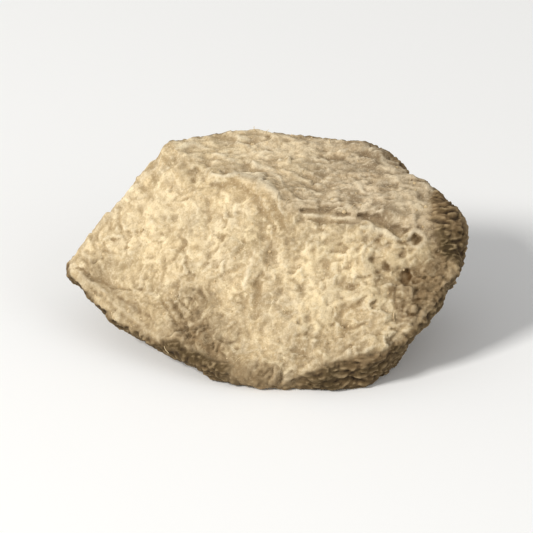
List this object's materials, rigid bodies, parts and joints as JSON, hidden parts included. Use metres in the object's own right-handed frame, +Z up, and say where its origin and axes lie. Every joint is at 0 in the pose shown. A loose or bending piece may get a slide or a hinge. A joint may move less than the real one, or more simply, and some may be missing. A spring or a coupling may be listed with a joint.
{
  "type": "wild yam root piece",
  "caption": "Dried, cut piece of wild yam root, with pale fibrous cut faces, a greyer weathered top and brown wrinkled rind, resting on a flat cut.",
  "frame": {"origin": "middle of the footprint's bounding box, at the level of the flat cut that the piece rests on", "axes": "+X along the longest extent, -Y towards the pale cut front, +Z up, away from the flat cut"},
  "size_m": [0.034, 0.021, 0.015],
  "materials": {
    "dried_root": "matt, fibrous and crumbly on the cut faces, wrinkled on the rind"
  },
  "bodies": {
    "root": {"root_piece": "dried_root"}
  },
  "joints": []
}
